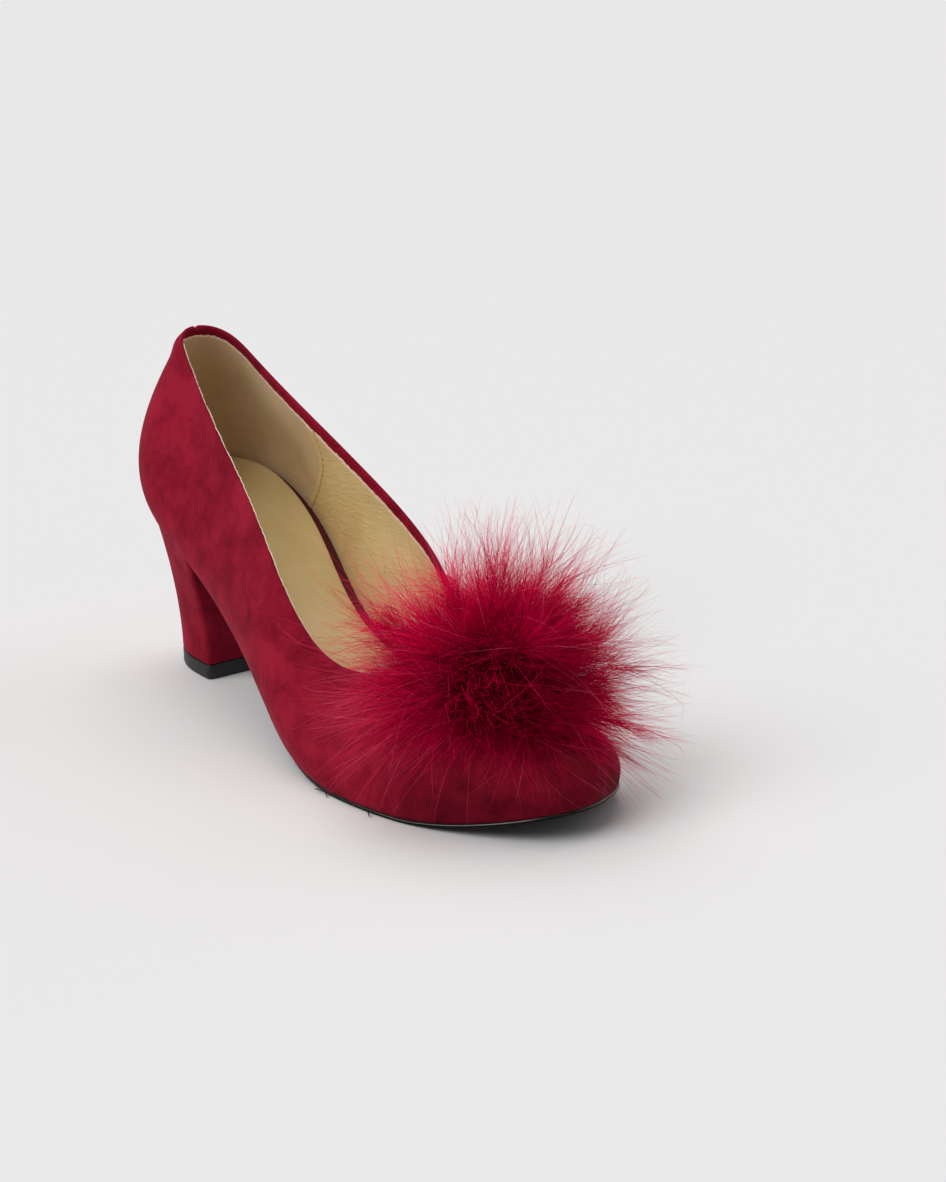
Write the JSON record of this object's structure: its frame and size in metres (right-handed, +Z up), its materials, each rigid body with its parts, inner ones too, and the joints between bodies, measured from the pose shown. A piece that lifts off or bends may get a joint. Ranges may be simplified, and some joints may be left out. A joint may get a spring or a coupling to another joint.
{
  "type": "pump shoe",
  "caption": "Woman's right pump in wine-red suede with a low-cut throat, rounded toe, suede-covered block heel and a feather pompom on the vamp.",
  "frame": {"origin": "middle of the shoe's box, on the floor it stands on", "axes": "+X from the heel to the toe, +Y towards the inner side of the foot, +Z up"},
  "size_m": [0.2414, 0.0976, 0.1233],
  "materials": {
    "upper_suede": "wine-red suede with a mottled nap, beige lining inside",
    "heel_suede": "wine-red suede cover",
    "outsole_black": "thin black sole with a satin edge",
    "lift_rubber": "matt black rubber",
    "insole_wine": "dark wine cover",
    "sock_leather": "smooth beige leather",
    "pompom_feather": "crimson marabou feather"
  },
  "bodies": {
    "root": {"upper": "upper_suede", "outsole": "outsole_black", "heel": "heel_suede", "top_lift": "lift_rubber", "insole": "insole_wine", "sock": "sock_leather", "pompom": "pompom_feather"}
  },
  "joints": []
}
